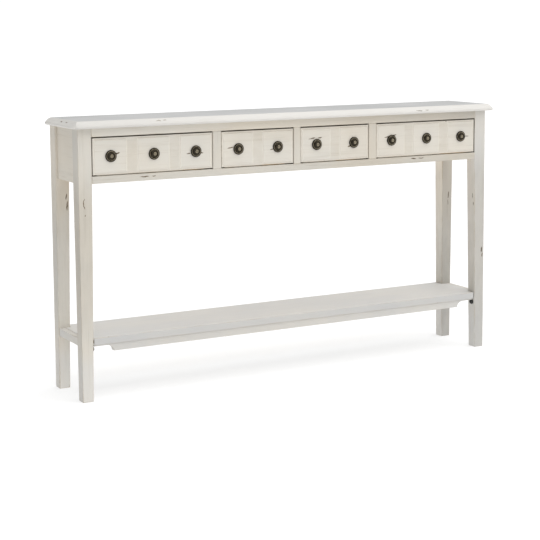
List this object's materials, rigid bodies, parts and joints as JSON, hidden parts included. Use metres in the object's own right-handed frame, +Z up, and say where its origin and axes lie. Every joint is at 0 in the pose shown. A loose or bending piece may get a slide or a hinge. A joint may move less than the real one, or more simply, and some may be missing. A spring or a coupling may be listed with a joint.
{
  "type": "console table",
  "caption": "Long, narrow console table on square tapered legs, with a moulded top, a shallow row of flush drawers with raised panels and round knobs, and a low shelf with shaped rails.",
  "frame": {"origin": "centre of the overall footprint, on the floor under the feet", "axes": "+X along the length, to the right seen from the front; +Y towards the back, with the drawers opening along -Y; +Z up"},
  "size_m": [1.5876, 0.265, 0.88],
  "materials": {
    "top_paint": "worn off-white paint with a satin glaze",
    "frame_paint": "distressed cream paint, rubbed through at the edges, with a brown glaze in the joints",
    "drawer_wood": "bare pale softwood",
    "bronze": "antique bronze patina, rubbed lighter on the raised rings",
    "black_steel": "black lacquered steel"
  },
  "bodies": {
    "frame": {"table_top": "top_paint", "leg_front_left": "frame_paint", "leg_front_right": "frame_paint", "leg_rear_left": "frame_paint", "leg_rear_right": "frame_paint", "front_top_rail": "frame_paint", "front_bottom_rail": "frame_paint", "apron_left": "frame_paint", "apron_right": "frame_paint", "apron_rear": "frame_paint", "divider_left": "frame_paint", "divider_middle": "frame_paint", "divider_right": "frame_paint", "runner_left": "drawer_wood", "runner_middle": "drawer_wood", "runner_right": "drawer_wood", "runner_end_left": "drawer_wood", "runner_end_right": "drawer_wood", "shelf_board": "frame_paint", "shelf_rail_front": "frame_paint", "shelf_rail_rear": "frame_paint", "shelf_rail_left": "frame_paint", "shelf_rail_right": "frame_paint", "shelf_bolt_front_left": "black_steel", "shelf_bolt_front_right": "black_steel", "shelf_bolt_rear_left": "black_steel", "shelf_bolt_rear_right": "black_steel"},
    "drawer_1": {"drawer_1_front": "frame_paint", "drawer_1_side_left": "drawer_wood", "drawer_1_side_right": "drawer_wood", "drawer_1_bottom": "drawer_wood", "drawer_1_back": "drawer_wood", "drawer_1_knob_1": "bronze", "drawer_1_knob_2": "bronze", "drawer_1_knob_3": "bronze"},
    "drawer_2": {"drawer_2_front": "frame_paint", "drawer_2_side_left": "drawer_wood", "drawer_2_side_right": "drawer_wood", "drawer_2_bottom": "drawer_wood", "drawer_2_back": "drawer_wood", "drawer_2_knob_1": "bronze", "drawer_2_knob_2": "bronze"},
    "drawer_3": {"drawer_3_front": "frame_paint", "drawer_3_side_left": "drawer_wood", "drawer_3_side_right": "drawer_wood", "drawer_3_bottom": "drawer_wood", "drawer_3_back": "drawer_wood", "drawer_3_knob_1": "bronze", "drawer_3_knob_2": "bronze"},
    "drawer_4": {"drawer_4_front": "frame_paint", "drawer_4_side_left": "drawer_wood", "drawer_4_side_right": "drawer_wood", "drawer_4_bottom": "drawer_wood", "drawer_4_back": "drawer_wood", "drawer_4_knob_1": "bronze", "drawer_4_knob_2": "bronze", "drawer_4_knob_3": "bronze"}
  },
  "joints": [
    {"name": "drawer_1_slide", "type": "slide", "parent": "frame", "child": "drawer_1", "axis": [0, -1, 0], "range_m": [0, 0.13]},
    {"name": "drawer_2_slide", "type": "slide", "parent": "frame", "child": "drawer_2", "axis": [0, -1, 0], "range_m": [0, 0.13]},
    {"name": "drawer_3_slide", "type": "slide", "parent": "frame", "child": "drawer_3", "axis": [0, -1, 0], "range_m": [0, 0.13]},
    {"name": "drawer_4_slide", "type": "slide", "parent": "frame", "child": "drawer_4", "axis": [0, -1, 0], "range_m": [0, 0.13]}
  ]
}
